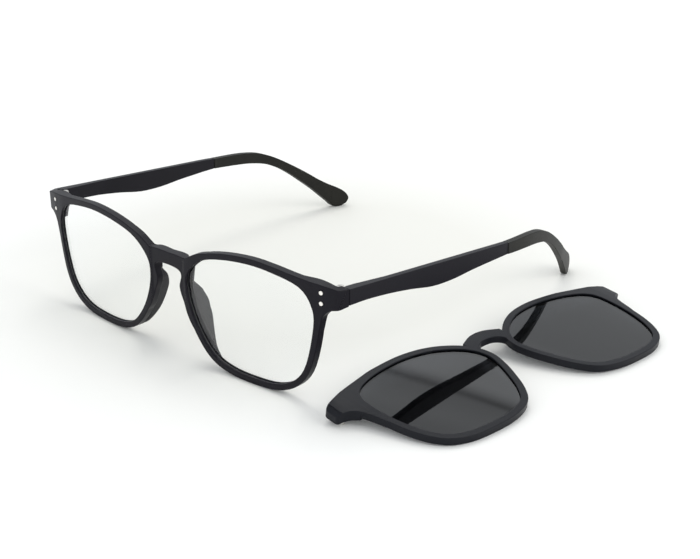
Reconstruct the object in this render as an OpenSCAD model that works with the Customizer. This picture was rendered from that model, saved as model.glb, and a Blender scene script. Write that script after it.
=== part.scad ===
// Pair of eyeglasses with a magnetic clip-on sun front, standing open on a table.
// Axes: +X the wearer's left, +Y from the front towards the temple tips, +Z up.
// The glasses stand on the lower rims and the temple tips; the clip-on lies beside them, front up.

/* [Lens opening] */
// Width of one lens opening
lens_w = 52.8; // [46:0.2:56]
// Height of one lens opening
lens_h = 38.2; // [34:0.2:42]
// Clear distance between the two lens openings at the nose
nose_gap = 17.8; // [15:0.2:22]
// Width of the rim round each lens
rim_w = 2.1; // [1.8:0.1:3]

/* [Front] */
// Thickness of the rims from front to back
front_t = 2.8; // [2.6:0.1:4]
// Radius of the front's sweep across the face
front_r = 530; // [300:10:900]
// Distance beyond the lens at which the endpiece ends
endpiece_len = 8.4; // [7:0.2:10]
// Height of the endpiece
endpiece_h = 6.2; // [5.8:0.1:7.5]
// How far the temple joint lies behind the back of the rims, at the endpiece
endpiece_d = 0.7; // [0.6:0.1:2.4]
// Radius of the wrap at the endpieces
wrap_r = 44; // [30:1:90]
// Height of the bridge
bridge_h = 4.3; // [3.5:0.1:6]
// How far the bridge is set back behind the front of the rims
bridge_recess = 0.3; // [0.2:0.1:0.8]
// Depth of the bridge from front to back
bridge_t = 3.6; // [3:0.1:4.5]
// Reach of the nose pads behind the front
pad_reach = 9.0; // [7:0.1:11]
// Thickness of a nose pad
pad_t = 1.9; // [1.4:0.1:2.6]

/* [Lenses] */
// Thickness of the clear lenses
lens_t = 1.2; // [1:0.1:1.3]
// Depth of the clear lenses behind the front face
lens_inset = 1.0; // [0.7:0.1:1.1]
// Depth of the grooves that hold the lens edges
groove_d = 0.5; // [0.3:0.05:0.8]
// Clearance between a lens and its groove
lens_gap = 0.04; // [0.02:0.01:0.08]

/* [Pins and hinges] */
// Radius of the steel pins that show on the endpieces
pin_r = 0.65; // [0.5:0.05:0.8]
// Distance between the two pins of one endpiece
pin_pitch = 3.4; // [3:0.1:3.6]
// Clearance of fixed pins and inserts in the plastic
seat_gap = 0.03; // [0.01:0.01:0.06]
// Radius of the hinge barrels
barrel_r = 1.3; // [1.2:0.05:1.5]
// Height of the whole barrel stack
barrel_h = 4.6; // [4:0.1:5]
// Height of the middle barrel
mid_h = 1.8; // [1.4:0.1:2]
// Axial play between barrels
barrel_gap = 0.08; // [0.04:0.01:0.15]
// Radius of the hinge screw
screw_r = 0.6; // [0.5:0.05:0.7]
// Running clearance of the screw in the middle barrel
run_gap = 0.05; // [0.02:0.01:0.09]
// Thickness of the hinge leaves
leaf_t = 0.8; // [0.6:0.05:1]
// Gap at the joint line between endpiece and temple
joint_gap = 0.12; // [0.05:0.01:0.3]

/* [Temples] */
// Distance from the joint to the seam of the tip
arm_len = 76.6; // [70:0.2:80]
// Distance from the joint to the end of the tip
temple_len = 140; // [130:0.5:150]
// Height of the temple at the joint
temple_h = 5.2; // [4.6:0.1:6]
// Thickness of the temple at the joint
temple_root_t = 3.3; // [3.2:0.1:4]
// Thickness of the temple along its length
temple_t = 2.3; // [2.1:0.1:3]
// Thickness of the tip sleeve
tip_t = 2.7; // [2.5:0.1:3.4]
// Half width of the steel core wire in the temple
core_r = 0.5; // [0.4:0.05:0.6]

/* [Clip-on] */
// How much narrower the clip-on's openings and nose gap are than the front's
clip_less = 3.0; // [2:0.1:5]
// How much taller the clip-on's openings are than the front's
clip_more = 2.6; // [0:0.1:3]
// Width of the clip-on's rims
clip_rim_w = 2.4; // [1.8:0.1:3]
// Thickness of the clip-on
clip_t = 2.5; // [2.2:0.1:2.8]
// Radius of the clip-on's sweep
clip_r = 2500; // [900:100:4000]
// Radius of the bend at the clip-on's lugs
clip_wrap_r = 46; // [40:1:90]
// How far a lug reaches past the middle of the steel pins
lug_over = 2.9; // [1.8:0.1:3.2]
// Height of a lug
lug_h = 6.7; // [6:0.1:7.2]
// Thickness of a lug at its end
lug_t = 3.5; // [3.2:0.05:3.8]
// Height of the clip-on's bridge
clip_bridge_h = 5.1; // [3.6:0.1:6]
// Thickness of the dark lenses
clip_lens_t = 0.9; // [0.7:0.05:1]
// Depth of the dark lenses behind the clip-on's front face
clip_lens_inset = 0.6; // [0.4:0.05:0.7]
// Radius of the clip-on's magnets
magnet_r = 1.0; // [0.8:0.05:1.2]
// Depth of the magnets in the lugs
magnet_t = 1.4; // [1:0.05:1.7]
// How far the magnets stand out behind the lugs
magnet_out = 1.7; // [1.4:0.05:1.9]

/* [Clip-on on the table] */
// Distance from the endpiece to the middle of the clip-on, sideways
clip_off = 24.2; // [20:0.2:60]
// Distance from the front back to the middle of the clip-on
clip_back = 63.7; // [40:0.1:90]
// Turn of the clip-on on the table
clip_turn = 84.4; // [75:0.1:95]

/* [Hidden] */
$fn = 48;
eps = 0.01;

// Black plastic, olive tip sleeve, steel, clear and dark lens colours
plastic = [0.06, 0.06, 0.065];
sleeve = [0.10, 0.10, 0.09];
steel = [0.75, 0.75, 0.76];
clear_lens = [0.85, 0.9, 0.92, 0.3];
dark_lens = [0.12, 0.12, 0.13, 0.85];

// Shapes of the openings as fractions of half their width and height, from the temple
// side over the top to the nose and back along the bottom
lens_shape = [[1, 0.27], [0.97, 0.62], [0.8, 0.87], [0.42, 0.975], [0.05, 1], [-0.38, 0.935],
              [-0.72, 0.8], [-0.95, 0.53], [-1, 0.25], [-0.94, -0.12], [-0.8, -0.5], [-0.58, -0.83],
              [-0.3, -0.97], [0.08, -1], [0.45, -0.955], [0.72, -0.77], [0.89, -0.42]];
clip_shape = [[1, 0.3], [0.972, 0.61], [0.84, 0.79], [0.58, 0.915], [0.25, 0.985], [-0.08, 1],
              [-0.42, 0.935], [-0.7, 0.785], [-0.91, 0.57], [-1, 0.3], [-0.955, 0], [-0.85, -0.32],
              [-0.72, -0.625], [-0.54, -0.865], [-0.24, -0.98], [0.1, -1], [0.45, -0.965],
              [0.71, -0.82], [0.87, -0.52], [0.965, -0.12]];

// One point of a smooth curve through four neighbours, and curves through lists of points
function spline(a, b, c, d, t) =
    ((2 * b) + (c - a) * t + (2 * a - 5 * b + 4 * c - d) * t * t
     + (3 * b - a - 3 * c + d) * t * t * t) / 2;
function smooth_loop(p, n = 4) =
    [for (i = [0:len(p) - 1]) for (k = [0:n - 1])
        spline(p[(i + len(p) - 1) % len(p)], p[i], p[(i + 1) % len(p)], p[(i + 2) % len(p)], k / n)];
function smooth_line(p, n = 4) =
    concat([for (i = [0:len(p) - 2]) for (k = [0:n - 1])
        spline(p[max(i - 1, 0)], p[i], p[i + 1], p[min(i + 2, len(p) - 1)], k / n)], [p[len(p) - 1]]);
function backwards(p) = [for (i = [len(p) - 1:-1:0]) p[i]];

// A loop moved outwards by d along its normals
function unit(v) = v / norm(v);
function grown(p, d) =
    [for (i = [0:len(p) - 1])
        let (s = unit(p[(i + 1) % len(p)] - p[(i + len(p) - 1) % len(p)]))
        p[i] + d * [s[1], -s[0]]];
function opening(shape, w, h, x, z) = smooth_loop([for (q = shape) [x + q[0] * w / 2, z + q[1] * h / 2]]);

// Lens openings of the glasses
lens_x = (nose_gap + lens_w) / 2;
lens_z = rim_w + lens_h / 2;
rim_top = lens_z + lens_h / 2 + rim_w;
front_opening = opening(lens_shape, lens_w, lens_h, lens_x, lens_z);

// Depth of a swept front: a wide sweep that tightens past the lens
function sweep(x, r, bend_x, bend_r) =
    x * x / (2 * r) + pow(max(abs(x) - bend_x, 0), 2) / (2 * bend_r);
function sweep_angle(x, r, bend_x, bend_r) = atan(x / r + max(x - bend_x, 0) / bend_r);
end_x = nose_gap / 2 + lens_w + endpiece_len;
wrap_x = end_x - 10;
function front_y(x) = sweep(x, front_r, wrap_x, wrap_r);

// Endpiece and joint
end_top = rim_top - 3.1;
end_low = end_top - endpiece_h;
end_mid = (end_top + end_low) / 2;
joint_x = end_x + 1.35;
joint_y = front_y(end_x) + front_t + endpiece_d;

// Hinge: axis, barrels, leaves and pins
hinge_x = joint_x - temple_root_t - barrel_r + 0.1;
hinge_y = joint_y + barrel_r - 0.3;
barrel_low = end_mid - barrel_h / 2;
end_barrel_h = (barrel_h - mid_h) / 2 - barrel_gap;
mid_low = barrel_low + end_barrel_h + barrel_gap;
leaf_back = joint_y - 1.5;
leaf_y = leaf_back - leaf_t;
leaf_h = pin_pitch + 2 * pin_r + 0.4;
pin_x = end_x - 5.4;
pin_tilt = sweep_angle(pin_x, front_r, wrap_x, wrap_r);
pin_len = (leaf_back - front_y(pin_x)) / cos(pin_tilt);
wall_x = hinge_x + barrel_r + 0.35;
temple_leaf_x = joint_x - temple_root_t + 1.2;
temple_leaf_len = 7.5;
screw_head_r = barrel_r - 0.15;
screw_head_h = 0.45;

// Temple places
seam_y = joint_y + arm_len;
tip_y = joint_y + temple_len;
temple_top = end_top - 0.05;

// Outer face of the left temple seen from above: it spreads a little, then the tip turns in
spread = 0.0287;
turn_start = joint_y + 70.7;
turn_in = 0.0036;
root_end = joint_y + 5;
function temple_x(y) = joint_x + spread * (y - joint_y) - turn_in * pow(max(y - turn_start, 0), 2);
function temple_thick(y) = max(temple_t, temple_root_t - max(y - root_end, 0) * 0.075);

// Clip-on in its own frame, with its origin midway between the centres of its openings
clip_lens_w = lens_w - clip_less;
clip_lens_h = lens_h + clip_more;
clip_gap = nose_gap - clip_less;
clip_lens_x = (clip_gap + clip_lens_w) / 2;
clip_opening = opening(clip_shape, clip_lens_w, clip_lens_h, clip_lens_x, 0);
clip_rim_top = clip_lens_h / 2 + clip_rim_w;
lug_reach = pin_x + lug_over;
clip_bend_x = lug_reach - 10;
lug_top = clip_rim_top - 6;
lug_low = lug_top - lug_h;
clip_bridge_top = clip_rim_top - 4.4;
magnet_x = pin_x;
magnet_z = lug_top - lug_h / 2;
function clip_y(x) = sweep(x, clip_r, clip_bend_x, clip_wrap_r);
magnet_tilt = sweep_angle(magnet_x, clip_r, clip_bend_x, clip_wrap_r);

// Clip-on on the table: it stands on the back edges of its lower rims and on its lower magnets
clip_rest = clip_t + clip_y(clip_lens_x + 8.5);
magnet_rest = clip_y(magnet_x) + lug_t + magnet_out * cos(magnet_tilt) + magnet_r * norm([sin(magnet_tilt), 0.11]);
clip_pitch = atan((magnet_rest - clip_rest) / (clip_rim_top + magnet_z - pin_pitch / 2));
clip_x = end_x + clip_off;
clip_z = clip_rim_top * sin(clip_pitch) + clip_rest * cos(clip_pitch);

// Middle of the whole group on the table
group_left = -temple_x(turn_start) - 0.2;
group_right = clip_x + clip_rim_top * sin(clip_turn) + (clip_lens_x + 3.4) * cos(clip_turn);
group_front = clip_back - lug_reach * sin(clip_turn) + lug_low * cos(clip_turn) + 0.15;
stand_x = (group_left + group_right) / 2;
stand_y = (group_front + tip_y) / 2;
module placed() {
    translate([-stand_x, -stand_y, 0]) children();
}
module sided(side) {
    placed() mirror([side < 0 ? 1 : 0, 0, 0]) children();
}

// A flat outline in X and Z, pushed from y0 to y1
module pushed(y0, y1) {
    translate([0, y1, 0]) rotate([90, 0, 0]) linear_extrude(y1 - y0) children();
}

// A swept slab between two depths behind the front's own surface
module swept(y0, y1, half, low, high, r, bend_x, bend_r) {
    steps = 36;
    xs = [for (i = [0:steps]) -half + 2 * half * i / steps];
    near = [for (x = xs) [x, sweep(x, r, bend_x, bend_r) + y0]];
    far = [for (x = backwards(xs)) [x, sweep(x, r, bend_x, bend_r) + y1]];
    translate([0, 0, low]) linear_extrude(high - low) polygon(concat(near, far));
}
module front_swept(y0, y1) {
    swept(y0, y1, end_x + 3, -5, rim_top + 5, front_r, wrap_x, wrap_r);
}

// Solid between stacked rings of points that all have the same count
module loft(rings) {
    n = len(rings[0]);
    m = len(rings);
    sides = [for (j = [0:m - 2]) for (i = [0:n - 1]) for (t = [0, 1])
        t == 0 ? [j * n + i, j * n + (i + 1) % n, (j + 1) * n + i]
               : [j * n + (i + 1) % n, (j + 1) * n + (i + 1) % n, (j + 1) * n + i]];
    low_cap = [for (i = [0:n - 1]) n - 1 - i];
    high_cap = [for (i = [0:n - 1]) (m - 1) * n + i];
    polyhedron(points = [for (ring = rings) each ring], faces = concat(sides, [low_cap, high_cap]));
}

// Outline of the left half of the front, without its opening
module front_outline() {
    polygon(grown(front_opening, rim_w));
    shoulder = smooth_line([[lens_x + 3, rim_top - 0.05], [lens_x + 10.8, rim_top - 0.35],
                            [lens_x + 18.4, rim_top - 1.15], [end_x - 9, end_top + 1.3],
                            [end_x - 5.4, end_top + 1.05], [end_x - 1.8, end_top + 0.55],
                            [end_x + 0.2, end_top + 0.1], [end_x + 1.6, end_top - 0.05]]);
    jaw = smooth_line([[end_x + 0.1, end_low + 0.05], [end_x - 2.3, end_low - 0.5],
                       [end_x - 4, end_low - 1.6], [end_x - 5.15, end_low - 3.1],
                       [end_x - 5.75, end_low - 5.2], [end_x - 6.3, end_low - 7.6],
                       [end_x - 7.1, end_low - 10.2]]);
    polygon(concat([[lens_x + 3, lens_z + 12]], shoulder, [[end_x + 1.6, end_low + 1]], jaw,
                   [[end_x - 9.5, end_low - 10.2]]));
    nose_outline();
}

// Bridge seen from the front: level top and keyhole arch
bridge_top = rim_top - 7;
bridge_low = bridge_top - bridge_h;
nose_x = nose_gap / 2;
arch = [[0, bridge_low], [nose_x - 7.2, bridge_low - 0.05], [nose_x - 4.9, bridge_low - 0.3],
        [nose_x - 3.4, bridge_low - 0.75], [nose_x - 2.6, bridge_low - 1.5], [nose_x - 2.5, bridge_low - 2.6]];
module bridge_outline() {
    polygon(concat([[0, bridge_top + 0.1], [nose_x - 4.5, bridge_top + 0.2], [nose_x - 2.3, bridge_top + 0.05],
                    [nose_x - 0.9, bridge_top], [nose_x + 0.1, bridge_top],
                    [nose_x + 0.1, bridge_low - 3.6], [nose_x - 2.48, bridge_low - 3.6]],
                   backwards(smooth_line(arch))));
}

// Feet of the bridge: they widen the rims beside the nose, from the shoulder down to the pads
module nose_outline() {
    foot = smooth_line([[nose_x - 2.6, bridge_low - 1.5], [nose_x - 2.5, bridge_low - 2.6],
                        [nose_x - 3, bridge_low - 4.1], [nose_x - 3.5, bridge_low - 5.6],
                        [nose_x - 3.45, bridge_low - 6.9], [nose_x - 3, bridge_low - 8.6],
                        [nose_x - 1.9, bridge_low - 11], [nose_x - 0.4, bridge_low - 14.5],
                        [nose_x + 0.85, bridge_low - 16.9], [nose_x + 2.05, bridge_low - 18.6],
                        [nose_x + 3.8, bridge_low - 20.6]]);
    fillet = smooth_line([[nose_x - 1.4, bridge_top - 0.6], [nose_x - 0.5, bridge_top - 0.12],
                          [nose_x + 0.6, bridge_top + 0.5], [nose_x + 2.35, bridge_top + 1.45],
                          [nose_x + 4, bridge_top + 2.35], [nose_x + 5.7, bridge_top + 3.1],
                          [nose_x + 7.2, bridge_top + 3.58], [nose_x + 8.9, bridge_top + 4.05],
                          [nose_x + 10.7, bridge_top + 4.32]]);
    polygon(concat([[nose_x + 4, bridge_top - 2]], backwards(foot), [[nose_x - 1.4, bridge_low + 0.2]], fillet));
}

// Bridge seen from above: it runs out into the rims at both ends
module bridge_plan() {
    back = bridge_recess + bridge_t;
    polygon([[0, bridge_recess - 0.2], [nose_x - 1.6, 0.1], [nose_x + 0.2, 0.6],
             [nose_x - 0.4, front_t - 0.3], [nose_x - 1, front_t + 0.15], [nose_x - 1.9, back - 0.2],
             [nose_x - 2.9, back], [nose_x - 5.9, back - 0.1], [0, back - 0.3]]);
}

// Cut that sets the front of the bridge back and slopes out to the rims
module bridge_front() {
    edge = [nose_x - 0.2, front_y(nose_x - 0.2) - 0.02];
    foot = [nose_x - 1.6, bridge_recess];
    translate([0, 0, bridge_low - 22]) linear_extrude(bridge_h + 34)
        polygon([[-edge[0], -2], [edge[0], -2], edge, foot, [-foot[0], foot[1]], [-edge[0], edge[1]]]);
}
module bridge() {
    intersection() {
        pushed(-1, 12) {
            bridge_outline();
            mirror([1, 0]) bridge_outline();
        }
        translate([0, 0, bridge_low - 5]) linear_extrude(bridge_h + 8) {
            bridge_plan();
            mirror([1, 0]) bridge_plan();
        }
    }
}

// Nose pad rows: height, root and crest sideways from the rim, crest depth as a share of the reach
pad_rows = smooth_line([[6.4, -0.9, -0.1, 0.45], [4.8, -0.9, 0.2, 0.58], [2.8, -0.8, 0.5, 0.77],
                        [0.8, -0.1, 1.3, 0.9], [-1.2, 0.6, 2.1, 0.98], [-3.2, 1.3, 2.8, 1],
                        [-7.2, 3.3, 4.1, 0.93], [-11.2, 6, 5.6, 0.81], [-15.2, 9.6, 8, 0.63],
                        [-17.2, 12.4, 10.2, 0.53], [-18.4, 14.8, 13, 0.42]], 3);
module nose_pad() {
    base = nose_x - 0.6;
    root_y = front_t * 0.4 + front_y(base);
    loft([for (row = pad_rows)
        let (a = [base + row[1], root_y], c = [base + row[2], row[3] * pad_reach])
        let (d = unit(c - a) * pad_t / 2, s = [d[1], -d[0]], e = c - d)
        [for (q = [a - s, a + s, e + s, e + (d + s) * 0.72, c, e + (d - s) * 0.72, e - s])
            [q[0], q[1], lens_z + row[0]]]]);
}

// Thicker block behind each endpiece, seen from above
module endpiece_plan() {
    inner = end_x - 14;
    back = smooth_line([[inner, front_y(inner) + front_t - 0.1], [inner + 2.5, leaf_back - 1.15],
                        [inner + 4.6, leaf_back - 0.35], [inner + 6.6, leaf_back]]);
    polygon(concat([[joint_x + 2, joint_y + 1.5], [wall_x + 0.4, joint_y + 1.5], [wall_x - 0.4, leaf_back]],
                   backwards(back), [[inner, front_y(inner) + 1.3], [pin_x, front_y(pin_x) + 1.1],
                    [end_x - 2, front_y(end_x - 2) + 1.2], [joint_x + 2, front_y(end_x) + 1.6]]));
}

// Places of the steel pins, square to the front's surface
module at_pins() {
    for (z = [-1, 1]) translate([pin_x, front_y(pin_x), end_mid + z * pin_pitch / 2])
        rotate([0, 0, pin_tilt]) rotate([-90, 0, 0]) children();
}

module half_front() {
    intersection() {
        pushed(-1, 20) front_outline();
        union() {
            front_swept(0, front_t);
            translate([0, 0, end_low - 1.5]) linear_extrude(endpiece_h + 6) endpiece_plan();
        }
        translate([0, 0, -1]) linear_extrude(rim_top + 2)
            polygon([[-1, -2], [end_x, -2], [end_x, front_y(end_x)], [joint_x, joint_y], [-1, joint_y]]);
    }
    nose_pad();
}
module half_front_cuts() {
    pushed(-2, 20) polygon(front_opening);
    intersection() {
        pushed(-2, 20) polygon(grown(front_opening, groove_d));
        front_swept(lens_inset, lens_inset + lens_t + 2 * lens_gap);
    }
    front_leaf(seat_gap);
    at_pins() translate([0, 0, -1]) cylinder(r = pin_r + seat_gap, h = pin_len + 2);
}
module frame_front() {
    color(plastic) placed() difference() {
        union() {
            half_front();
            mirror([1, 0, 0]) half_front();
            bridge();
        }
        bridge_front();
        half_front_cuts();
        mirror([1, 0, 0]) half_front_cuts();
    }
}

module lens(side) {
    color(clear_lens) sided(side) intersection() {
        pushed(-2, 20) polygon(grown(front_opening, groove_d - lens_gap));
        front_swept(lens_inset + lens_gap, lens_inset + lens_gap + lens_t);
    }
}

module steel_pins(side) {
    color(steel) sided(side) at_pins() translate([0, 0, -0.04]) cylinder(r = pin_r, h = pin_len);
}

// Front leaf: a plate in a pocket of the endpiece with the two outer barrels
module front_leaf(extra = 0) {
    plate_x = pin_x - (leaf_y - front_y(pin_x)) * sin(pin_tilt) - 2.2 * pin_r;
    translate([plate_x - extra, leaf_y - extra, end_mid - leaf_h / 2 - extra])
        cube([hinge_x + barrel_r - 0.3 - plate_x + extra * 2, leaf_t + extra * 2, leaf_h + extra * 2]);
}
module hinge_front_leaf(side) {
    color(steel) sided(side) difference() {
        union() {
            front_leaf();
            for (z = [barrel_low, barrel_low + barrel_h - end_barrel_h]) {
                translate([hinge_x, hinge_y, z]) cylinder(r = barrel_r, h = end_barrel_h);
                translate([hinge_x - barrel_r, leaf_back - eps, z])
                    cube([barrel_r, hinge_y - leaf_back + eps, end_barrel_h]);
            }
        }
        translate([hinge_x, hinge_y, barrel_low - 1]) cylinder(r = screw_r + seat_gap, h = barrel_h + 2);
        at_pins() cylinder(r = pin_r + seat_gap, h = pin_len + 2);
    }
}

// Temple leaf: a strip in the temple with the middle barrel
module temple_strip(extra = 0) {
    translate([temple_leaf_x - extra, hinge_y + 0.2 - extra, mid_low - extra])
        cube([leaf_t + 2 * extra, temple_leaf_len + 2 * extra, mid_h + 2 * extra]);
    translate([hinge_x, hinge_y + 0.2 - extra, mid_low - extra])
        cube([temple_leaf_x - hinge_x + leaf_t / 2, leaf_t + 2 * extra, mid_h + 2 * extra]);
}
module hinge_temple_leaf(side) {
    color(steel) sided(side) difference() {
        union() {
            translate([hinge_x, hinge_y, mid_low]) cylinder(r = barrel_r, h = mid_h);
            temple_strip();
        }
        translate([hinge_x, hinge_y, mid_low - 1]) cylinder(r = screw_r + run_gap, h = mid_h + 2);
    }
}

// Hinge screw with its slotted head on top
module hinge_screw(side) {
    color(steel) sided(side) translate([hinge_x, hinge_y, barrel_low]) difference() {
        union() {
            cylinder(r = screw_r, h = barrel_h + eps);
            translate([0, 0, barrel_h]) cylinder(r = screw_head_r, h = screw_head_h);
        }
        translate([-screw_head_r, -0.15, barrel_h + screw_head_h - 0.2]) cube([2 * screw_head_r, 0.3, 1]);
    }
}

// Side outlines of a temple: distance behind the joint and fall below the temple's top corner
seam_fall = 6.7;
tip_fall = 39.25;
bow_len = 140;
top_line = [[0, 0], [10, 0.86], [40, 3.43], [70, 6.05], [arm_len, seam_fall]];
low_line = [[arm_len, 10.8], [70, 10.75], [58, 10.85], [48, 11.2], [38, 10.6], [28, 8.5], [18, 6.8],
            [8, temple_h + 0.4], [0, temple_h]];
tip_upper = [[76.6, 6.75], [82.7, 7.15], [88.7, 7.55], [92.7, 7.95], [97.7, 8.75], [101.7, 9.95],
             [105.7, 11.65], [108.7, 13.25], [112.9, 15.75], [117.7, 18.85], [122.6, 22.25],
             [126.9, 25.45], [131.2, 28.25], [134.9, 30.35], [137.7, 32.25], [139.5, 34.35],
             [140, 36.25], [139, 38.05]];
tip_lower = [[136.9, 39.1], [134.9, 39.25], [133, 38.35], [131.5, 36.65], [128.1, 33.25], [124.9, 30.05],
             [120, 25.75], [115.1, 21.65], [110.5, 18.35], [106.7, 16.25], [101.7, 14.15], [94.7, 12.65],
             [87.7, 11.85], [80.7, 11.2], [76.6, 10.8]];
core_line = [[60, 8.1], [76.6, 8.75], [90, 9.9], [100, 11.6], [108, 14.9], [114, 18.7], [119.5, 22.8]];

// Tip and core keep their shape when the temple's length or the front's height changes
function bowed(q) =
    let (past = max(q[0] - 76.6, 0) / (bow_len - 76.6), below = max(q[1] - seam_fall, 0))
    [joint_y + (q[0] <= 76.6 ? q[0] - 76.6 + arm_len : arm_len + past * (temple_len - arm_len)),
     temple_top - min(q[1], seam_fall) - below * (1 + past * ((temple_top - seam_fall) / (tip_fall - seam_fall) - 1))];
module arm_side() {
    polygon([for (q = concat(smooth_line(top_line), smooth_line(low_line)))
        [joint_y + q[0] + (q[0] < eps ? joint_gap : 0), temple_top - q[1]]]);
}
module tip_side() {
    polygon([for (q = concat(smooth_line(tip_upper), smooth_line(tip_lower))) bowed(q)]);
}

// A side outline, with Y to the right and Z up, pushed across the temple
module pushed_across() {
    rotate([90, 0, 90]) linear_extrude(joint_x + 8) children();
}
module temple_band(inset, thick, from, to) {
    ys = [for (i = [0:30]) from + (to - from) * i / 30];
    outer = [for (y = ys) [temple_x(y) - inset, y]];
    inner = [for (y = backwards(ys)) [temple_x(y) - inset - (thick > 0 ? thick : temple_thick(y)), y]];
    linear_extrude(end_top + 5) polygon(concat(outer, inner));
}
module core_form(extra) {
    line = [for (q = smooth_line(core_line)) bowed(q)];
    last = len(line) - 1;
    r = core_r * 1.6 + extra;
    sides = [for (i = [0:last]) let (s = unit(line[min(i + 1, last)] - line[max(i - 1, 0)])) r * [s[1], -s[0]]];
    intersection() {
        pushed_across() polygon(concat(line + sides, backwards(line - sides)));
        temple_band(temple_t / 2 - core_r - extra, 2 * core_r + 2 * extra, joint_y + 50, tip_y);
    }
}
module temple(side) {
    color(plastic) sided(side) difference() {
        intersection() {
            pushed_across() arm_side();
            temple_band(0, 0, joint_y, seam_y);
        }
        temple_strip(seat_gap);
        translate([hinge_x, hinge_y, end_low - 1]) cylinder(r = barrel_r + 0.15, h = endpiece_h + 2);
        core_form(seat_gap);
    }
}
module temple_tip(side) {
    color(sleeve) sided(side) difference() {
        intersection() {
            pushed_across() tip_side();
            temple_band((temple_t - tip_t) / 2, tip_t, seam_y + 0.02, tip_y + 1);
        }
        core_form(seat_gap);
    }
}
module temple_core(side) {
    color(steel) sided(side) core_form(0);
}

// Clip-on: modelled upright like the front, then laid on its back and turned
module on_table() {
    placed() translate([clip_x, clip_back, clip_z]) rotate([0, 0, clip_turn]) rotate([clip_pitch, 0, 0])
        rotate([-90, 0, 0]) children();
}
module clip_swept(y0, y1) {
    swept(y0, y1, lug_reach + 4, -40, 40, clip_r, clip_bend_x, clip_wrap_r);
}
module clip_outline() {
    polygon(grown(clip_opening, clip_rim_w));
    shoulder = smooth_line([[clip_lens_x + 4, clip_rim_top - 0.05], [clip_lens_x + 12, clip_rim_top - 0.85],
                            [clip_lens_x + 17, clip_rim_top - 1.9], [lug_reach - 8, lug_top + 1.75],
                            [lug_reach - 5, lug_top + 0.9], [lug_reach - 2, lug_top],
                            [lug_reach - 0.4, lug_top - 0.8], [lug_reach, lug_top - 2]]);
    jaw = smooth_line([[lug_reach, lug_low + 1], [lug_reach - 0.5, lug_low + 0.2],
                       [lug_reach - 2.4, lug_low - 0.3], [lug_reach - 4.2, lug_low - 1.3],
                       [lug_reach - 5.8, lug_low - 3.2], [lug_reach - 6.9, lug_low - 5.8],
                       [lug_reach - 7.6, lug_low - 8.4], [lug_reach - 8.3, lug_low - 11],
                       [lug_reach - 9.4, lug_low - 14]]);
    polygon(concat([[clip_lens_x + 4, lug_low]], shoulder, jaw, [[lug_reach - 10.6, lug_low - 14]]));
}
module clip_bridge_outline() {
    half = clip_gap / 2;
    low = clip_bridge_top - clip_bridge_h;
    top = smooth_line([[0, clip_bridge_top], [half - 4.8, clip_bridge_top - 0.25],
                       [half - 2.9, clip_bridge_top - 0.8], [half - 1.2, clip_bridge_top - 1.5],
                       [half + 1.4, clip_bridge_top - 2.7]]);
    arch = smooth_line([[half - 1.7, low - 6.2], [half - 1.3, low - 4], [half - 1.7, low - 2.5],
                        [half - 2.7, low - 1.3], [half - 4.7, low - 0.25], [0, low]]);
    polygon(concat(top, [[half + 2.4, low - 6.2]], arch));
}
module at_magnets() {
    for (z = [-1, 1]) translate([magnet_x, clip_y(magnet_x) + lug_t, magnet_z + z * pin_pitch / 2])
        rotate([0, 0, magnet_tilt]) rotate([90, 0, 0]) children();
}

// Back of a lug seen from above: it slopes from the rim's thickness to the lug's own
module lug_plan() {
    from = lug_reach - 9;
    xs = [for (i = [0:12]) from + i * (lug_reach + 2 - from) / 12];
    near = [for (x = xs) [x, clip_y(x) + clip_t - 0.5]];
    far = [for (x = backwards(xs)) [x, clip_y(x) + clip_t - 0.1 + (lug_t - clip_t + 0.1) * min((x - from) / 4, 1)]];
    polygon(concat(near, far));
}
module clip_lug() {
    intersection() {
        pushed(-2, 20) clip_outline();
        translate([0, 0, lug_low - 3.4]) linear_extrude(lug_h + 6) lug_plan();
    }
}
module half_clip_cuts() {
    pushed(-3, 20) polygon(clip_opening);
    intersection() {
        pushed(-3, 20) polygon(grown(clip_opening, groove_d));
        clip_swept(clip_lens_inset, clip_lens_inset + clip_lens_t + 2 * lens_gap);
    }
    at_magnets() translate([0, 0, -2]) cylinder(r = magnet_r + seat_gap, h = magnet_t + seat_gap + 2);
    translate([0, 0, lug_low - 3]) linear_extrude(lug_h + 6)
        polygon([[lug_reach - 1.7, clip_y(lug_reach - 1.7) - 0.02], [lug_reach + 1, -1],
                 [lug_reach + 1, clip_y(lug_reach) + 1.6]]);
}
module clip_frame() {
    color(plastic) on_table() difference() {
        union() {
            intersection() {
                pushed(-2, 20) {
                    clip_outline();
                    mirror([1, 0]) clip_outline();
                    clip_bridge_outline();
                    mirror([1, 0]) clip_bridge_outline();
                }
                clip_swept(0, clip_t);
            }
            clip_lug();
            mirror([1, 0, 0]) clip_lug();
        }
        half_clip_cuts();
        mirror([1, 0, 0]) half_clip_cuts();
    }
}
module clip_lens(side) {
    color(dark_lens) on_table() mirror([side < 0 ? 1 : 0, 0, 0]) intersection() {
        pushed(-3, 20) polygon(grown(clip_opening, groove_d - lens_gap));
        clip_swept(clip_lens_inset + lens_gap, clip_lens_inset + lens_gap + clip_lens_t);
    }
}
module clip_magnets(side) {
    color(steel) on_table() mirror([side < 0 ? 1 : 0, 0, 0])
        at_magnets() translate([0, 0, -magnet_out]) cylinder(r = magnet_r, h = magnet_t + magnet_out);
}

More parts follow.
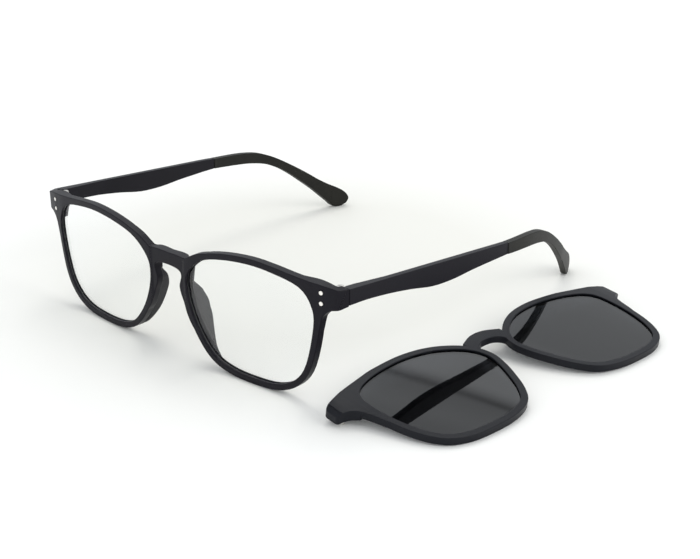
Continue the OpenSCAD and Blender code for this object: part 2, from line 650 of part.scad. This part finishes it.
frame_front();
lens(1);  // lens_left
lens(-1);  // lens_right
steel_pins(1);  // steel_pins_left
steel_pins(-1);  // steel_pins_right
hinge_front_leaf(1);  // hinge_front_leaf_left
hinge_front_leaf(-1);  // hinge_front_leaf_right
hinge_temple_leaf(1);  // hinge_temple_leaf_left
hinge_temple_leaf(-1);  // hinge_temple_leaf_right
hinge_screw(1);  // hinge_screw_left
hinge_screw(-1);  // hinge_screw_right
temple(1);  // temple_left
temple(-1);  // temple_right
temple_tip(1);  // temple_tip_left
temple_tip(-1);  // temple_tip_right
temple_core(1);  // temple_core_left
temple_core(-1);  // temple_core_right
clip_frame();
clip_lens(1);  // clip_lens_left
clip_lens(-1);  // clip_lens_right
clip_magnets(1);  // clip_magnets_left
clip_magnets(-1);  // clip_magnets_right
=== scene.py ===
import bpy
import math
from mathutils import Matrix, Vector
from mathutils.bvhtree import BVHTree


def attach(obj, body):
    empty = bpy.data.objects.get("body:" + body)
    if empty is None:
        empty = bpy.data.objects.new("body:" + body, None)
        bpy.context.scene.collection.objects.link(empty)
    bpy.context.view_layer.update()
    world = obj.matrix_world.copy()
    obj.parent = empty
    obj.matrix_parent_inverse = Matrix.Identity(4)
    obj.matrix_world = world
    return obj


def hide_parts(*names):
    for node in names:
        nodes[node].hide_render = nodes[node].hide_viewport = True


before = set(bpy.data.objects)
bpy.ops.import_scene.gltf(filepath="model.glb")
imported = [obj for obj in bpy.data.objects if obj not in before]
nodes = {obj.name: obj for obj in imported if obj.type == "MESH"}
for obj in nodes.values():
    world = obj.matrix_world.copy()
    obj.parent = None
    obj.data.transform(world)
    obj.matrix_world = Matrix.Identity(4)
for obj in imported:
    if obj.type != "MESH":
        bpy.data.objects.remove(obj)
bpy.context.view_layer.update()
scene = bpy.context.scene
print("frame loaded:", len(nodes), "parts")

mm = 0.001


def deselectAll():
    if bpy.context.mode != "OBJECT":
        bpy.ops.object.mode_set(mode="OBJECT")
    bpy.ops.object.select_all(action="DESELECT")


def pick(obj):
    deselectAll()
    obj.select_set(True)
    bpy.context.view_layer.objects.active = obj
    return obj


# camera, placed where the photograph was taken from
cameraView = {
    "place": (0.280202, -0.320116, 0.185),
    "azimuth": 42.18,
    "elevation": 22.41,
    "roll": -0.35,
    "lens": 66.17,
}


def addCamera(plan):
    a, e, r = (math.radians(plan[k]) for k in ("azimuth", "elevation", "roll"))
    back = Vector((math.sin(a) * math.cos(e), -math.cos(a) * math.cos(e), math.sin(e)))
    right = Vector((math.cos(a), math.sin(a), 0))
    up = back.cross(right)
    across = right * math.cos(r) + up * math.sin(r)
    upward = up * math.cos(r) - right * math.sin(r)
    turned = Matrix((across, upward, back)).transposed()
    bpy.ops.object.camera_add(location=plan["place"])
    camera = bpy.context.object
    camera.name = "photoCamera"
    camera.rotation_euler = turned.to_euler()
    camera.data.lens = plan["lens"]
    camera.data.sensor_width = 36
    camera.data.clip_start = 0.01
    camera.data.clip_end = 20
    scene.camera = camera
    print("camera ready")


deselectAll()
addCamera(cameraView)


# node helpers and shared effects
def newMaterial(name):
    material = bpy.data.materials.new(name)
    material.use_nodes = True
    tree = material.node_tree
    return material, tree, tree.nodes["Principled BSDF"]


def addNode(tree, kind, **values):
    made = tree.nodes.new(kind)
    for key, value in values.items():
        setattr(made, key, value)
    return made


def grainGroup():
    group = bpy.data.node_groups.new("mouldedGrain", "ShaderNodeTree")
    face = group.interface
    face.new_socket("Grain Size", in_out="INPUT", socket_type="NodeSocketFloat").default_value = 0.3
    face.new_socket("Cloud Size", in_out="INPUT", socket_type="NodeSocketFloat").default_value = 12.0
    face.new_socket("Grain", in_out="OUTPUT", socket_type="NodeSocketFloat")
    face.new_socket("Cloud", in_out="OUTPUT", socket_type="NodeSocketFloat")
    inside = addNode(group, "NodeGroupInput")
    outside = addNode(group, "NodeGroupOutput")
    coordinates = addNode(group, "ShaderNodeTexCoord")
    fine = addNode(group, "ShaderNodeTexNoise")
    fine.inputs["Detail"].default_value = 3
    fine.inputs["Roughness"].default_value = 0.6
    perGrain = addNode(group, "ShaderNodeMath", operation="DIVIDE")
    perGrain.inputs[0].default_value = 1000
    perCloud = addNode(group, "ShaderNodeMath", operation="DIVIDE")
    perCloud.inputs[0].default_value = 1000
    cloud = addNode(group, "ShaderNodeTexNoise")
    cloud.inputs["Detail"].default_value = 2
    join = group.links.new
    join(inside.outputs["Grain Size"], perGrain.inputs[1])
    join(inside.outputs["Cloud Size"], perCloud.inputs[1])
    join(coordinates.outputs["Object"], fine.inputs["Vector"])
    join(coordinates.outputs["Object"], cloud.inputs["Vector"])
    join(perGrain.outputs[0], fine.inputs["Scale"])
    join(perCloud.outputs[0], cloud.inputs["Scale"])
    join(fine.outputs["Fac"], outside.inputs["Grain"])
    join(cloud.outputs["Fac"], outside.inputs["Cloud"])
    return group


mouldedGrain = grainGroup()


def ranged(tree, source, low, high, fromMin=0.3, fromMax=0.7):
    node = addNode(tree, "ShaderNodeMapRange")
    node.inputs["From Min"].default_value = fromMin
    node.inputs["From Max"].default_value = fromMax
    node.inputs["To Min"].default_value = low
    node.inputs["To Max"].default_value = high
    tree.links.new(source, node.inputs["Value"])
    return node.outputs["Result"]


def blended(tree, factor, first, second):
    node = addNode(tree, "ShaderNodeMix", data_type="RGBA")
    tree.links.new(factor, node.inputs["Factor"])
    node.inputs["A"].default_value = (*first, 1)
    node.inputs["B"].default_value = (*second, 1)
    return node.outputs["Result"]


def moulded(name, look):
    material, tree, shader = newMaterial(name)
    effect = addNode(tree, "ShaderNodeGroup", node_tree=mouldedGrain)
    effect.inputs["Grain Size"].default_value = look["grain"]
    effect.inputs["Cloud Size"].default_value = look["cloud"]
    tint = blended(tree, ranged(tree, effect.outputs["Cloud"], 0, 1), look["dark"], look["light"])
    tree.links.new(tint, shader.inputs["Base Color"])
    rough = ranged(tree, effect.outputs["Cloud"], look["rough"][0], look["rough"][1])
    tree.links.new(rough, shader.inputs["Roughness"])
    bump = addNode(tree, "ShaderNodeBump")
    bump.inputs["Strength"].default_value = look["bump"]
    bump.inputs["Distance"].default_value = look["grain"] * mm * 0.3
    tree.links.new(effect.outputs["Grain"], bump.inputs["Height"])
    tree.links.new(bump.outputs["Normal"], shader.inputs["Normal"])
    shader.inputs["Specular IOR Level"].default_value = look["specular"]
    return material


# finishes
plasticLook = {"dark": (0.0065, 0.0058, 0.0095), "light": (0.009, 0.008, 0.0125),
               "rough": (0.36, 0.42), "grain": 0.35, "cloud": 14, "bump": 0.3, "specular": 0.15}
clipLook = {"dark": (0.007, 0.0075, 0.011), "light": (0.0095, 0.0105, 0.0145),
            "rough": (0.36, 0.42), "grain": 0.35, "cloud": 14, "bump": 0.3, "specular": 0.17}
tipLook = {"dark": (0.010, 0.0097, 0.008), "light": (0.0155, 0.0148, 0.012),
           "rough": (0.44, 0.52), "grain": 0.3, "cloud": 9, "bump": 0.35, "specular": 0.2}
blackPlastic = moulded("mattBlackPlastic", plasticLook)
clipPlastic = moulded("clipBlackPlastic", clipLook)
tipRubber = moulded("softTip", tipLook)


def steelFinish(name, look):
    material, tree, shader = newMaterial(name)
    coordinates = addNode(tree, "ShaderNodeTexCoord")
    stretch = addNode(tree, "ShaderNodeMapping")
    stretch.inputs["Scale"].default_value = look["stretch"]
    noise = addNode(tree, "ShaderNodeTexNoise")
    noise.inputs["Scale"].default_value = look["scale"]
    noise.inputs["Detail"].default_value = 4
    tree.links.new(coordinates.outputs["Object"], stretch.inputs["Vector"])
    tree.links.new(stretch.outputs["Vector"], noise.inputs["Vector"])
    tint = blended(tree, ranged(tree, noise.outputs["Fac"], 0, 1), look["dark"], look["light"])
    tree.links.new(tint, shader.inputs["Base Color"])
    tree.links.new(ranged(tree, noise.outputs["Fac"], *look["rough"]), shader.inputs["Roughness"])
    shader.inputs["Metallic"].default_value = 1
    bump = addNode(tree, "ShaderNodeBump")
    bump.inputs["Strength"].default_value = look["bump"]
    bump.inputs["Distance"].default_value = 0.00002
    tree.links.new(noise.outputs["Fac"], bump.inputs["Height"])
    tree.links.new(bump.outputs["Normal"], shader.inputs["Normal"])
    return material


pinLook = {"stretch": (1, 1, 1), "scale": 900, "dark": (0.86, 0.83, 0.77), "light": (0.95, 0.92, 0.87),
           "rough": (0.28, 0.4), "bump": 0.1}
hingeLook = {"stretch": (1, 1, 12), "scale": 300, "dark": (0.5, 0.49, 0.47), "light": (0.66, 0.65, 0.62),
             "rough": (0.3, 0.45), "bump": 0.2}
magnetLook = {"stretch": (1, 1, 1), "scale": 500, "dark": (0.7, 0.69, 0.66), "light": (0.8, 0.79, 0.77),
              "rough": (0.14, 0.22), "bump": 0.05}
pinSteel = steelFinish("pinSteel", pinLook)
hingeSteel = steelFinish("hingeSteel", hingeLook)
magnetPlate = steelFinish("magnetPlating", magnetLook)


def letLightThrough(tree, shader, tint):
    path = addNode(tree, "ShaderNodeLightPath")
    clear = addNode(tree, "ShaderNodeBsdfTransparent")
    clear.inputs["Color"].default_value = (*tint, 1)
    mix = addNode(tree, "ShaderNodeMixShader")
    tree.links.new(path.outputs["Is Shadow Ray"], mix.inputs["Fac"])
    tree.links.new(shader.outputs["BSDF"], mix.inputs[1])
    tree.links.new(clear.outputs["BSDF"], mix.inputs[2])
    tree.links.new(mix.outputs["Shader"], tree.nodes["Material Output"].inputs["Surface"])


def lensFinish(name, look):
    material, tree, shader = newMaterial(name)
    effect = addNode(tree, "ShaderNodeGroup", node_tree=mouldedGrain)
    effect.inputs["Grain Size"].default_value = 1.5
    effect.inputs["Cloud Size"].default_value = look["cloud"]
    tint = blended(tree, ranged(tree, effect.outputs["Cloud"], 0, 1), look["dark"], look["light"])
    tree.links.new(tint, shader.inputs["Base Color"])
    tree.links.new(ranged(tree, effect.outputs["Cloud"], *look["rough"]), shader.inputs["Roughness"])
    shader.inputs["Transmission Weight"].default_value = look["transmission"]
    shader.inputs["IOR"].default_value = look["ior"]
    letLightThrough(tree, shader, look["shadow"])
    return material


clearLook = {"dark": (0.975, 0.985, 0.985), "light": (0.99, 0.995, 0.995), "rough": (0.0, 0.01),
             "cloud": 20, "transmission": 1, "ior": 1.49, "shadow": (0.93, 0.94, 0.94)}
# ground edge wall of the clear lens: matte like a real ground edge, but its dark grey colour is painted shade
# standing in for the black groove
groundEdgeShadeLook = {"dark": (0.035, 0.037, 0.037), "light": (0.06, 0.062, 0.062), "rough": (0.55, 0.7),
            "cloud": 20, "transmission": 0, "ior": 1.49, "shadow": (0.3, 0.3, 0.3)}
darkLook = {"dark": (0.014, 0.016, 0.02), "light": (0.02, 0.022, 0.026), "rough": (0.015, 0.03),
            "cloud": 25, "transmission": 1, "ior": 1.52, "shadow": (0.2, 0.21, 0.22)}
clearLens = lensFinish("clearLens", clearLook)
groundEdgeShade = lensFinish("groundEdgeAndPaintedShade", groundEdgeShadeLook)
darkLens = lensFinish("darkLens", darkLook)
print("materials ready")


# piece helpers
def applyModifier(obj, kind, **settings):
    pick(obj)
    bpy.ops.object.modifier_add(type=kind)
    modifier = obj.modifiers[-1]
    for key, value in settings.items():
        setattr(modifier, key, value)
    bpy.ops.object.modifier_apply(modifier=modifier.name)


def copyOf(nodeName, name):
    source = nodes[nodeName]
    obj = bpy.data.objects.new(name, source.data.copy())
    scene.collection.objects.link(obj)
    obj.data.materials.clear()
    pick(obj)
    bpy.ops.object.mode_set(mode="EDIT")
    bpy.ops.mesh.select_all(action="SELECT")
    bpy.ops.mesh.remove_doubles(threshold=0.000002)
    bpy.ops.object.mode_set(mode="OBJECT")
    return obj


def settle(obj, body, replaced, material, angle=None):
    obj.data.materials.clear()
    obj.data.materials.append(material)
    pick(obj)
    if angle is not None:
        bpy.ops.object.shade_smooth_by_angle(angle=math.radians(angle))
    deselectAll()
    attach(obj, body)
    if replaced:
        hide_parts(*replaced)
    return obj


def keepNear(obj, surface, limit):
    for vertex in obj.data.vertices:
        point, normal, index, distance = surface.find_nearest(vertex.co)
        if distance > limit:
            vertex.co = point


flatAngle = 0.2  # degrees between faces that count as one flat face
strayShare = 0.45  # how far a point may stand off, as a share of the rounding


def castPlastic(nodeName, name, plan):
    obj = copyOf(nodeName, name)
    pick(obj)
    bpy.ops.object.mode_set(mode="EDIT")
    bpy.ops.mesh.select_all(action="SELECT")
    bpy.ops.mesh.remove_doubles(threshold=plan["weld"] * mm)
    bpy.ops.mesh.dissolve_degenerate(threshold=plan["weld"] * mm)
    bpy.ops.mesh.select_all(action="SELECT")
    bpy.ops.mesh.dissolve_limited(angle_limit=math.radians(flatAngle))
    bpy.ops.object.mode_set(mode="OBJECT")
    # the shape before rounding, which holds back stray corner points
    corners = [v.co.copy() for v in obj.data.vertices]
    surface = BVHTree.FromPolygons(corners, [tuple(f.vertices) for f in obj.data.polygons])
    applyModifier(obj, "BEVEL", width=plan["edge"] * mm, segments=plan["steps"], limit_method="ANGLE",
                  angle_limit=math.radians(plan["from"]), use_clamp_overlap=False)
    keepNear(obj, surface, plan["edge"] * mm * strayShare)
    pick(obj)
    bpy.ops.object.shade_smooth_by_angle(angle=math.radians(plan["smooth"]))
    applyModifier(obj, "WEIGHTED_NORMAL", weight=60, keep_sharp=True)
    print(name, len(obj.data.polygons), "faces")
    return obj


frontPlan = {"weld": 0.03, "edge": 0.3, "steps": 3, "from": 28, "smooth": 32}
clipPlan = {"weld": 0.03, "edge": 0.26, "steps": 3, "from": 20, "smooth": 20}
armPlan = {"weld": 0.03, "edge": 0.3, "steps": 3, "from": 28, "smooth": 32}
tipPlan = {"weld": 0.03, "edge": 0.3, "steps": 3, "from": 28, "smooth": 32}

settle(castPlastic("frame_front", "glassesFront", frontPlan), "front", ["frame_front"], blackPlastic)
settle(castPlastic("clip_frame", "clipFront", clipPlan), "clip_on", ["clip_frame"], clipPlastic)
for side in ("left", "right"):
    arm = castPlastic("temple_" + side, "templeArm_" + side, armPlan)
    settle(arm, "temple_" + side, ["temple_" + side], blackPlastic)
    sleeve = castPlastic("temple_tip_" + side, "templeSleeve_" + side, tipPlan)
    settle(sleeve, "temple_" + side, ["temple_tip_" + side], tipRubber)
print("plastic parts ready")


# lenses: a shaped rim of points, filled with a grid and bowed
clipTurn = 84.4
clipPitch = 6.49592
clipPose = (Matrix.Translation((70.9021 * mm, -9.7152 * mm, 5.39416 * mm))
            @ Matrix.Rotation(math.radians(clipTurn), 4, "Z")
            @ Matrix.Rotation(math.radians(clipPitch), 4, "X")
            @ Matrix.Rotation(math.radians(-90), 4, "X"))
frontPose = Matrix.Translation((-23.3979 * mm, -73.4152 * mm, 0))


def outlineOf(nodeName, pose, count):
    back = pose.inverted()
    flat = [back @ v.co for v in nodes[nodeName].data.vertices]
    cx = (min(p.x for p in flat) + max(p.x for p in flat)) / 2
    cz = (min(p.z for p in flat) + max(p.z for p in flat)) / 2
    best = {}
    for p in flat:
        angle = math.atan2(p.z - cz, p.x - cx)
        radius = math.hypot(p.x - cx, p.z - cz)
        key = round(angle, 3)
        if key not in best or best[key][0] < radius:
            best[key] = (radius, angle)
    ring = sorted(best.values(), key=lambda entry: entry[1])
    kept = []
    for i, (radius, angle) in enumerate(ring):
        near = [r for r, a in ring if abs((a - angle + math.pi) % (2 * math.pi) - math.pi) < 0.12]
        if radius > max(near) * 0.9:
            kept.append((angle, radius))
    points = [(cx + r * math.cos(a), cz + r * math.sin(a)) for a, r in kept]
    lengths = [0]
    for i in range(len(points)):
        a, b = points[i], points[(i + 1) % len(points)]
        lengths.append(lengths[-1] + math.hypot(b[0] - a[0], b[1] - a[1]))
    spread = []
    step = 0
    for k in range(count):
        along = lengths[-1] * k / count
        while lengths[step + 1] < along:
            step += 1
        part = (along - lengths[step]) / (lengths[step + 1] - lengths[step])
        a, b = points[step], points[(step + 1) % len(points)]
        spread.append((a[0] + (b[0] - a[0]) * part, a[1] + (b[1] - a[1]) * part))
    return spread


def lensPiece(nodeName, name, plan, pose):
    outline = outlineOf(nodeName, pose, plan["points"])
    deselectAll()
    bpy.ops.mesh.primitive_circle_add(vertices=plan["points"], radius=0.02, fill_type="NOTHING")
    obj = bpy.context.object
    obj.name = name
    for vertex, (x, z) in zip(obj.data.vertices, outline):
        vertex.co = (x, 0, z)
    bpy.ops.object.mode_set(mode="EDIT")
    bpy.ops.mesh.select_all(action="SELECT")
    bpy.ops.mesh.fill_grid(span=plan["points"] // 4)
    bpy.ops.object.mode_set(mode="OBJECT")
    for vertex in obj.data.vertices:
        bowed = vertex.co.x * vertex.co.x / (2 * plan["radius"] * mm)
        vertex.co.y = (plan["inset"] + plan["thick"] / 2) * mm + bowed
    applyModifier(obj, "SOLIDIFY", thickness=plan["thick"] * mm, offset=0)
    pick(obj)
    bpy.ops.object.mode_set(mode="EDIT")
    bpy.ops.mesh.select_all(action="SELECT")
    bpy.ops.mesh.normals_make_consistent(inside=False)
    bpy.ops.object.mode_set(mode="OBJECT")
    obj.data.transform(pose)
    return obj


clearPlan = {"points": 120, "inset": 1.04, "radius": 530, "thick": 1.2}
darkPlan = {"points": 120, "inset": 0.64, "radius": 2500, "thick": 0.9}
for side in ("left", "right"):
    clearPiece = lensPiece("lens_" + side, "clearLens_" + side, clearPlan, frontPose)
    settle(clearPiece, "front", ["lens_" + side], clearLens, 40)
    # the ground wall that sits in the groove, coloured dark grey as painted shade of the black groove around it
    clearPiece.data.materials.append(groundEdgeShade)
    for face in clearPiece.data.polygons[-clearPlan["points"]:]:
        face.material_index = 1
    settle(lensPiece("clip_lens_" + side, "darkLens_" + side, darkPlan, clipPose), "clip_on", ["clip_lens_" + side],
           darkLens, 40)
print("lenses ready")


# small metal parts keep their solids
for name, obj in nodes.items():
    look = None
    if name.startswith("steel_pins"):
        look = pinSteel
    elif name.startswith(("hinge_", "temple_core")):
        look = hingeSteel
    elif name.startswith("clip_magnets"):
        look = magnetPlate
    if look:
        obj.data.materials.clear()
        obj.data.materials.append(look)
print("metal parts ready")


# stage: table top, light and surroundings
# table colour holds a painted pool of shade: darker near the glasses, lightening to near white towards the edges
stageLook = {
    "near": (0.85, 0.845, 0.8),
    "far": (0.98, 0.98, 0.98),
    "size": 6.0,
    "fade": (0.07, 0.19),
    "middle": (-0.045, 0.015, 0),
    "paintedGlow": 0.07,
}
# sky: height of a direction and its brightness; the dip near 0.6 shows as a dark edge in the near dark lens
lightPlan = {
    "lampTint": (1, 0.985, 0.94),
    "sky": ((0, 0.45), (0.2, 0.85), (0.38, 1.2), (0.49, 0.9), (0.53, 0.9), (0.56, 1.2), (0.588, 1.35),
            (0.5955, 0.75), (0.598, 0.4), (0.6005, 0.85), (0.62, 1.05), (0.66, 0.74), (1, 0.7)),
    "tint": (0.94, 0.97, 1),
    "lamps": {
        "softKey": {"power": 7.2, "size": 0.85, "place": (-0.5, 0.5, 1.5)},
        "sideLight": {"power": 3.5, "size": 0.7, "place": (1.1, 0.3, 0.75)},
    },
}


def addStage(look, plan):
    deselectAll()
    bpy.ops.mesh.primitive_plane_add(size=look["size"], location=(0, 0, -0.00001))
    floor = bpy.context.object
    floor.name = "tableTop"
    material, tree, shader = newMaterial("paleTable")
    coordinates = addNode(tree, "ShaderNodeTexCoord")
    away = addNode(tree, "ShaderNodeVectorMath", operation="DISTANCE")
    away.inputs[1].default_value = look["middle"]
    tree.links.new(coordinates.outputs["Object"], away.inputs[0])
    # painted shade: base colour goes from the darker near tone to the far tone across the fade distance from the
    # middle
    paintedShadeFade = ranged(tree, away.outputs["Value"], 0, 1, *look["fade"])
    tree.links.new(blended(tree, paintedShadeFade, look["near"], look["far"]), shader.inputs["Base Color"])
    # painted glow: the table emits a little white light that grows with distance from the middle, lifting the outer
    # table to pure white
    shader.inputs["Emission Color"].default_value = (1, 1, 1, 1)
    paintedGlow = ranged(tree, away.outputs["Value"], 0, look["paintedGlow"], *look["fade"])
    tree.links.new(paintedGlow, shader.inputs["Emission Strength"])
    shader.inputs["Roughness"].default_value = 0.75
    shader.inputs["Specular IOR Level"].default_value = 0.2
    floor.data.materials.append(material)
    world = bpy.data.worlds.new("paleStudio")
    world.use_nodes = True
    scene.world = world
    tree = world.node_tree
    sky = tree.nodes["Background"]
    sky.inputs["Color"].default_value = (*plan["tint"], 1)
    facing = addNode(tree, "ShaderNodeTexCoord")
    height = addNode(tree, "ShaderNodeSeparateXYZ")
    tree.links.new(facing.outputs["Generated"], height.inputs["Vector"])
    rise = addNode(tree, "ShaderNodeValToRGB")
    stops = rise.color_ramp.elements
    for place, level in plan["sky"][1:-1]:
        stops.new(place)
    for stop, (place, level) in zip(stops, plan["sky"]):
        stop.position = place
        stop.color = (level, level, level, 1)
    tree.links.new(height.outputs["Z"], rise.inputs["Fac"])
    tree.links.new(rise.outputs["Color"], sky.inputs["Strength"])
    seen = addNode(tree, "ShaderNodeBackground")
    seen.inputs["Color"].default_value = (1, 1, 1, 1)
    path = addNode(tree, "ShaderNodeLightPath")
    mix = addNode(tree, "ShaderNodeMixShader")
    tree.links.new(path.outputs["Is Camera Ray"], mix.inputs["Fac"])
    tree.links.new(sky.outputs["Background"], mix.inputs[1])
    tree.links.new(seen.outputs["Background"], mix.inputs[2])
    tree.links.new(mix.outputs["Shader"], tree.nodes["World Output"].inputs["Surface"])
    for name, lamp in plan["lamps"].items():
        bpy.ops.object.light_add(type="AREA", location=lamp["place"])
        light = bpy.context.object
        light.name = name
        light.data.shape = "SQUARE"
        light.data.size = lamp["size"]
        light.data.energy = lamp["power"]
        light.data.color = plan["lampTint"]
        light.rotation_euler = (-Vector(lamp["place"])).to_track_quat("-Z", "Y").to_euler()
    scene.view_settings.view_transform = "Standard"


addStage(stageLook, lightPlan)
print("stage ready")
